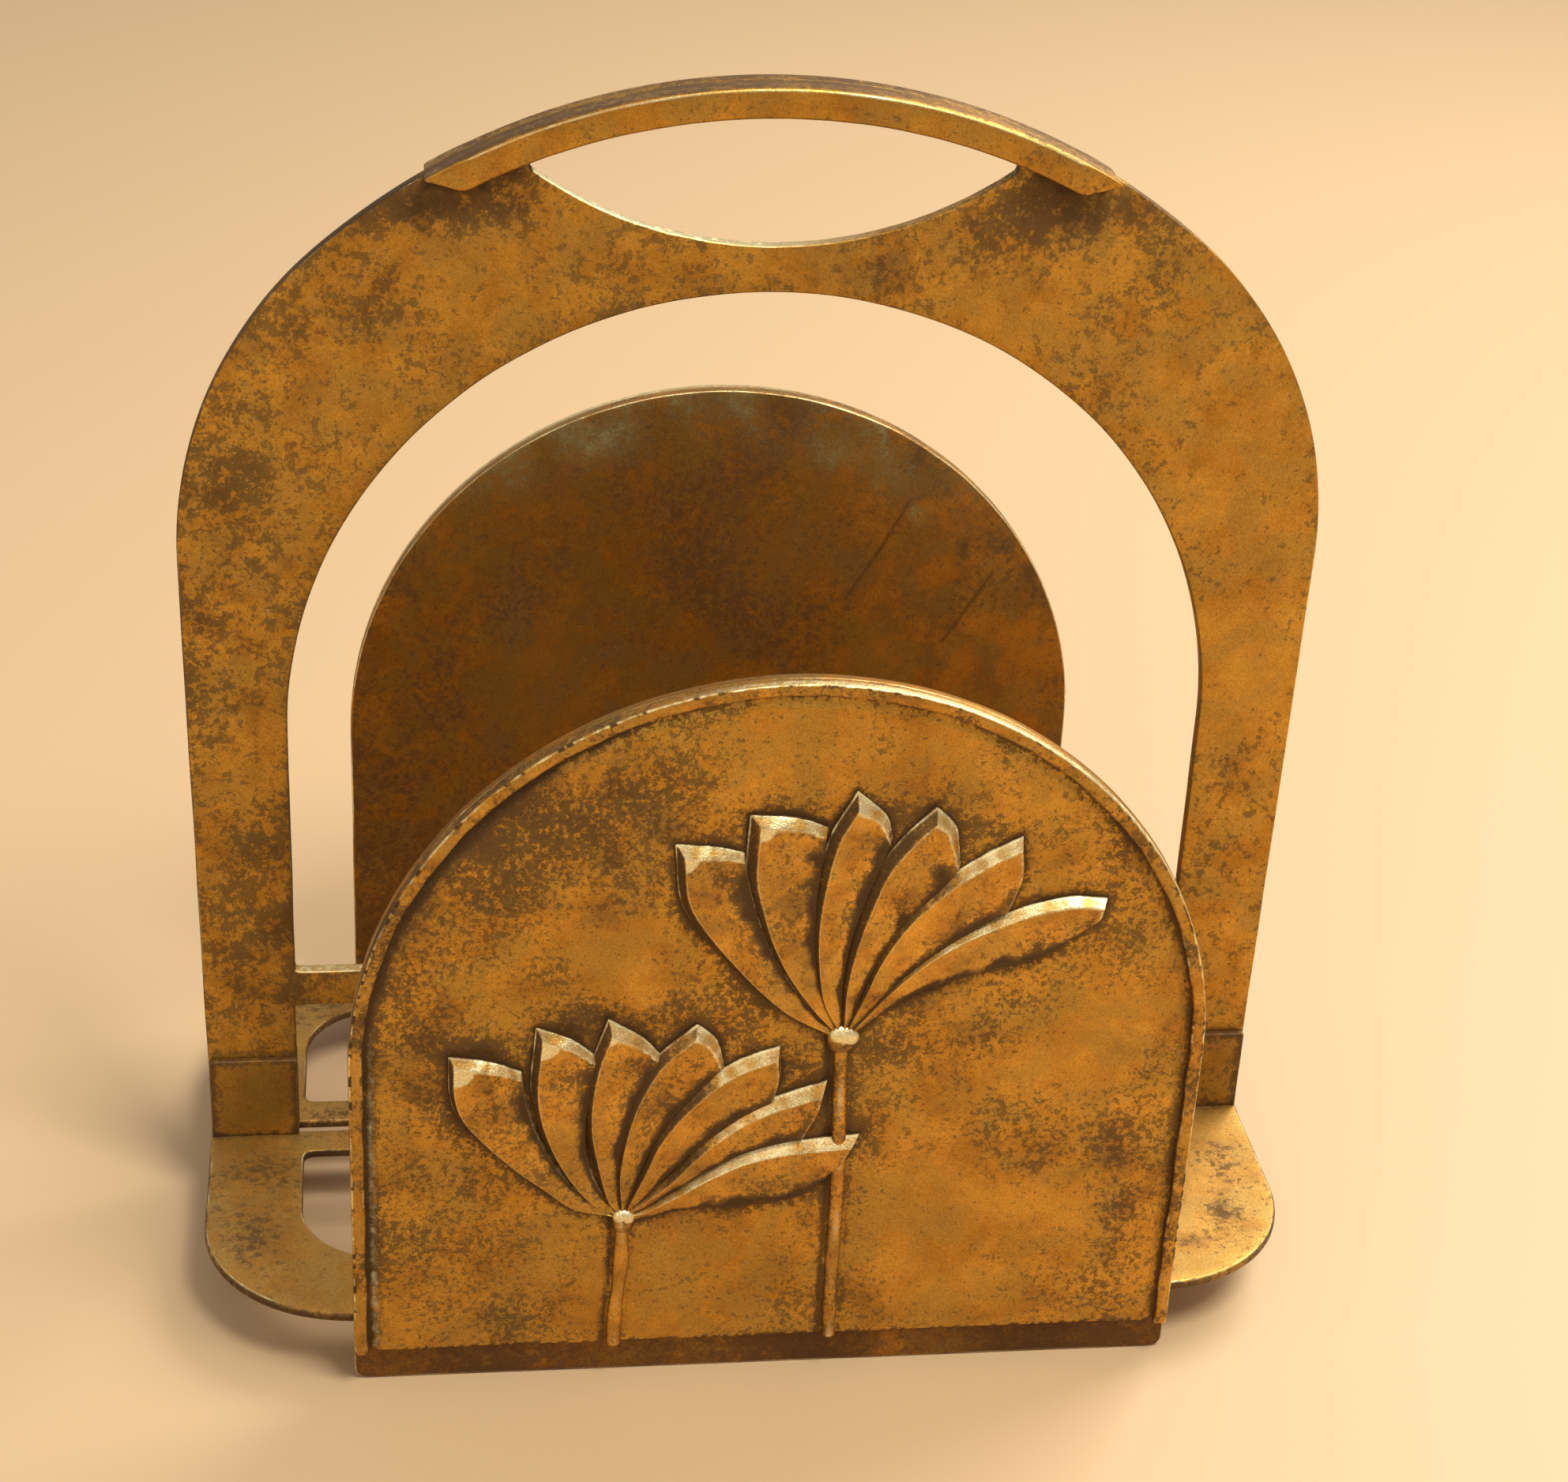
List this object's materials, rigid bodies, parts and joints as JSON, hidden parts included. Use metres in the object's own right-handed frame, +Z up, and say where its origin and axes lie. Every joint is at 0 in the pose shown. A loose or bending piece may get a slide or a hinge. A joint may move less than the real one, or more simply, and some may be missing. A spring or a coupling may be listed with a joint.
{
  "type": "magazine rack",
  "caption": "Free-standing cast brass magazine rack: arched centre plate with a hand opening and thick grip, slotted low base, and two round-topped side panels with a lotus relief.",
  "frame": {"origin": "middle of the footprint, on the floor under the arched centre plate", "axes": "+X along the rack's width, +Y from the front panel towards the rear panel, +Z up"},
  "size_m": [0.346, 0.2192, 0.372],
  "materials": {
    "arch_brass": "aged cast brass, mottled golden brown patina with dark spots",
    "grip_brass": "aged cast brass, worn smooth, dark on top with polished edges",
    "base_brass": "aged cast brass, paler and duller than the rest",
    "back_plate_brass": "dark brown patina, flat, with traces of verdigris",
    "relief_brass": "aged cast brass, granular ground, polished petal edges",
    "rim_brass": "aged cast brass, worn bright on its edges"
  },
  "bodies": {
    "root": {"arch_frame": "arch_brass", "grip_cheek_front": "grip_brass", "grip_cheek_rear": "grip_brass", "base_plate_front": "base_brass", "base_plate_rear": "base_brass", "back_plate_front": "back_plate_brass", "back_plate_rear": "back_plate_brass", "relief_plate_front": "relief_brass", "relief_plate_rear": "relief_brass", "rim_strip_front": "rim_brass", "rim_strip_rear": "rim_brass"}
  },
  "joints": []
}
